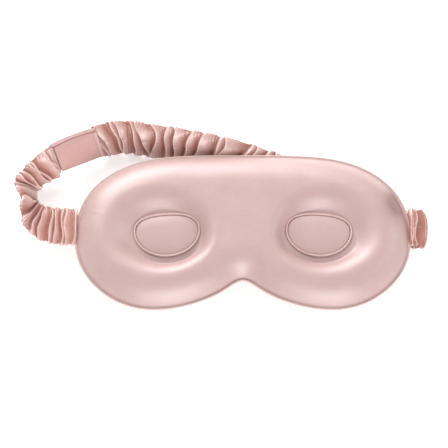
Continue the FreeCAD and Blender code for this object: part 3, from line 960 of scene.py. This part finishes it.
def make_closure():
    """The tab, the landing behind it, and the strips sewn across their ends."""
    low = MATE_GAP / 2 + TAPE_T + LAYER_GAP
    high = low + PANEL_T
    strip_low, strip_high = high + LAYER_GAP, high + LAYER_GAP + STRIP_T
    start, end = END_GAP, PANEL_L - END_GAP
    hinge = TAB_HINGE_AT - HEM_R

    tab = cloth_slab("closure_tab_cloth", hinge, end, low, high, PANEL_W, PANEL_CLOTH,
                     bow=1.3, sag=0.2, seed=1.0)
    hem = cloth_slab("tab_end_hem_cloth", end - STRIP_L, end, strip_low, strip_high, PANEL_W, STRIP_SATIN,
                     sag=0.05, seed=2.0)
    join = cloth_slab("tab_join_cloth", start - 0.6, hinge - 0.6, MATE_GAP / 2, strip_high, PANEL_W + 0.6,
                      STRIP_SATIN, sag=0.05, seed=3.0)
    landing = cloth_slab("landing_cloth", start, end, -high, -low, LANDING_W, STRIP_SATIN,
                         shift=LANDING_SHIFT, bow=1.1, sag=0.1, seed=4.0, curl=1.9)
    landing_strip = cloth_slab("landing_strip_cloth", end - STRIP_L, end, -strip_high, -strip_low,
                               LANDING_W, STRIP_SATIN, shift=LANDING_SHIFT, seed=5.0)
    for piece, body, node, slot in ((tab, "closure_flap", "closure_tab", "panel_cloth"),
                                    (hem, "closure_flap", "tab_end_hem", "strap_satin"),
                                    (join, "closure_end", "tab_sewn_strip", "strap_satin"),
                                    (landing, "landing", "landing_panel", "strap_satin"),
                                    (landing_strip, "landing", "landing_sewn_strip", "strap_satin")):
        take_place(piece, body, node)

    rows = make_closure_stitches(start, end, high + 0.05, strip_high)


def make_closure_stitches(start, end, cloth_z, strip_z):
    """Rows across each sewn strip, and along the tab's two long edges."""
    edge, back_edge = PANEL_W / 2, LANDING_W / 2
    hem_x, join_x = end - STRIP_L / 2, (start + TAB_HINGE_AT - HEM_R - MATE_GAP) / 2
    tab_start, tab_end = TAB_HINGE_AT + 1, end - STRIP_L - 0.5
    rows = {}
    for name, body, first, last, z in (
            ("tab_hem_stitches", "closure_flap", (hem_x, 1 - edge), (hem_x, edge - 1), strip_z),
            ("tab_join_stitches", "closure_end", (join_x, 1 - edge), (join_x, edge - 1), strip_z),
            ("tab_lower_stitches", "closure_flap", (tab_start, 1.3 - edge), (tab_end, 1.3 - edge), cloth_z),
            ("tab_upper_stitches", "closure_flap", (tab_start, edge - 1.1), (tab_end, edge - 1.1), cloth_z),
            ("landing_stitches", "landing", (hem_x, 2 - back_edge), (hem_x, back_edge), -strip_z)):
        up = FACING * math.copysign(1, z)
        rows[name] = stitch_row(name, on_closure(*first, z), on_closure(*last, z), up)
        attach(rows[name], body)
    return rows


cover, back, core = make_mask()
make_left_strap()
make_right_strap()
make_elastics()
make_closure()

# Pieces that keep their CAD shape.
KEPT_NODES = (("lining", LINING), ("tongue", ELASTIC), ("hook_tape", HOOK_TAPE), ("loop_tape", LOOP_TAPE))
for name, node in nodes.items():
    for key, material in KEPT_NODES:
        if key in name:
            node.data.materials.clear()
            node.data.materials.append(material)

# ---------------------------------------- camera, floor and light

scene = bpy.context.scene
LOOK_AT = Vector((-0.0125, 0.0055, 0.013))
CAMERA_UP = math.radians(72.0)
CAMERA_FAR = 1.118
camera_data = bpy.data.cameras.new("camera")
camera = bpy.data.objects.new("camera", camera_data)
scene.collection.objects.link(camera)
camera_data.lens, camera_data.sensor_width = 135.0, 36.0
camera.location = LOOK_AT + Vector((0, -math.cos(CAMERA_UP), math.sin(CAMERA_UP))) * CAMERA_FAR
camera.rotation_euler = (math.pi / 2 - CAMERA_UP, 0, 0)
scene.camera = camera
scene.view_settings.view_transform = "Standard"


def make_floor():
    mesh = bpy.data.meshes.new("floor")
    mesh.from_pydata([(-3, -3, 0), (3, -3, 0), (3, 3, 0), (-3, 3, 0)], [], [(0, 1, 2, 3)])
    floor = bpy.data.objects.new("floor", mesh)
    scene.collection.objects.link(floor)
    material, tree, shader = new_material("floor_paper")
    paper = colour_between(tree, noise_texture(tree, (30, 30, 30)), (0.93, 0.93, 0.93), (0.95, 0.95, 0.95))
    tree.links.new(paper, shader.inputs["Base Color"])
    shader.inputs["Roughness"].default_value = 0.9
    shader.inputs["Specular IOR Level"].default_value = 0.1
    shader.inputs["Emission Color"].default_value = (1, 1, 1, 1)
    shader.inputs["Emission Strength"].default_value = 0.27
    mesh.materials.append(material)


def area_light(name, azimuth, elevation, distance, size, power):
    """A soft square light that faces the mask. Azimuth 0 is at +X, 90 at +Y."""
    data = bpy.data.lights.new(name, "AREA")
    data.shape = "SQUARE"
    data.size, data.energy = size, power
    light = bpy.data.objects.new(name, data)
    a, e = math.radians(azimuth), math.radians(elevation)
    towards = Vector((math.cos(a) * math.cos(e), math.sin(a) * math.cos(e), math.sin(e)))
    light.location = towards * distance
    light.rotation_euler = towards.to_track_quat("Z", "Y").to_euler()
    scene.collection.objects.link(light)


make_floor()
area_light("back_softbox", 112, 25, 1.6, 1.3, 39)
area_light("front_softbox", -84, 25, 1.8, 1.0, 24)
area_light("right_fill", 8, 32, 1.8, 0.9, 7)
world = bpy.data.worlds.new("room")
scene.world = world
world.use_nodes = True
world.node_tree.nodes["Background"].inputs["Color"].default_value = (1, 1, 1, 1)
world.node_tree.nodes["Background"].inputs["Strength"].default_value = 0.6
